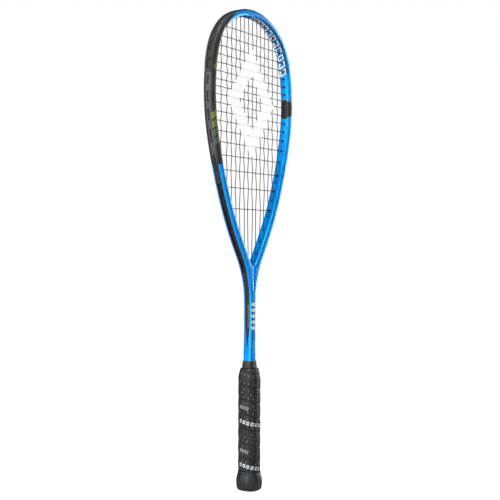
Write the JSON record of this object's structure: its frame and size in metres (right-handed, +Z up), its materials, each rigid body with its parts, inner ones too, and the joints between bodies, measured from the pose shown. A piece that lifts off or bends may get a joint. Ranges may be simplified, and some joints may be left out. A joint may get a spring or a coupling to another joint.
{
  "type": "squash racket",
  "caption": "Squash racket with a teardrop head, one-piece frame and shaft, woven string bed, bumper guard, grommets, spiral-wrapped grip and butt cap.",
  "frame": {"origin": "middle of the flat end of the butt cap, which is the lowest point of the racket", "axes": "+Z up the shaft to the top of the head, X across the head, Y along the normal of the strings with the face seen in the picture towards -Y"},
  "size_m": [0.207, 0.036, 0.683],
  "materials": {
    "painted_frame": "gloss lacquer over paint on carbon composite",
    "bumper": "satin moulded nylon",
    "grommet": "satin moulded nylon",
    "throat_grommet": "satin moulded nylon",
    "string": "coated multifilament nylon with a white stencil",
    "handle_core": "moulded rigid foam",
    "grip": "perforated, slightly tacky polyurethane tape",
    "collar": "matt rubber",
    "butt_cap": "satin moulded plastic",
    "tack": "plain steel"
  },
  "bodies": {
    "root": {"frame": "painted_frame", "bumper_guard": "bumper", "grommet_strip_left": "grommet", "grommet_strip_right": "grommet", "throat_grommet_left_1": "throat_grommet", "throat_grommet_left_2": "throat_grommet", "throat_grommet_left_3": "throat_grommet", "throat_grommet_left_4": "throat_grommet", "throat_grommet_left_5": "throat_grommet", "throat_grommet_left_6": "throat_grommet", "throat_grommet_left_7": "throat_grommet", "throat_grommet_left_8": "throat_grommet", "throat_grommet_right_1": "throat_grommet", "throat_grommet_right_2": "throat_grommet", "throat_grommet_right_3": "throat_grommet", "throat_grommet_right_4": "throat_grommet", "throat_grommet_right_5": "throat_grommet", "throat_grommet_right_6": "throat_grommet", "throat_grommet_right_7": "throat_grommet", "throat_grommet_right_8": "throat_grommet", "main_string": "string", "cross_string": "string", "handle_core_front": "handle_core", "handle_core_back": "handle_core", "grip_wrap": "grip", "grip_collar": "collar", "butt_cap": "butt_cap", "butt_tack_front": "tack", "butt_tack_back": "tack"}
  },
  "joints": []
}
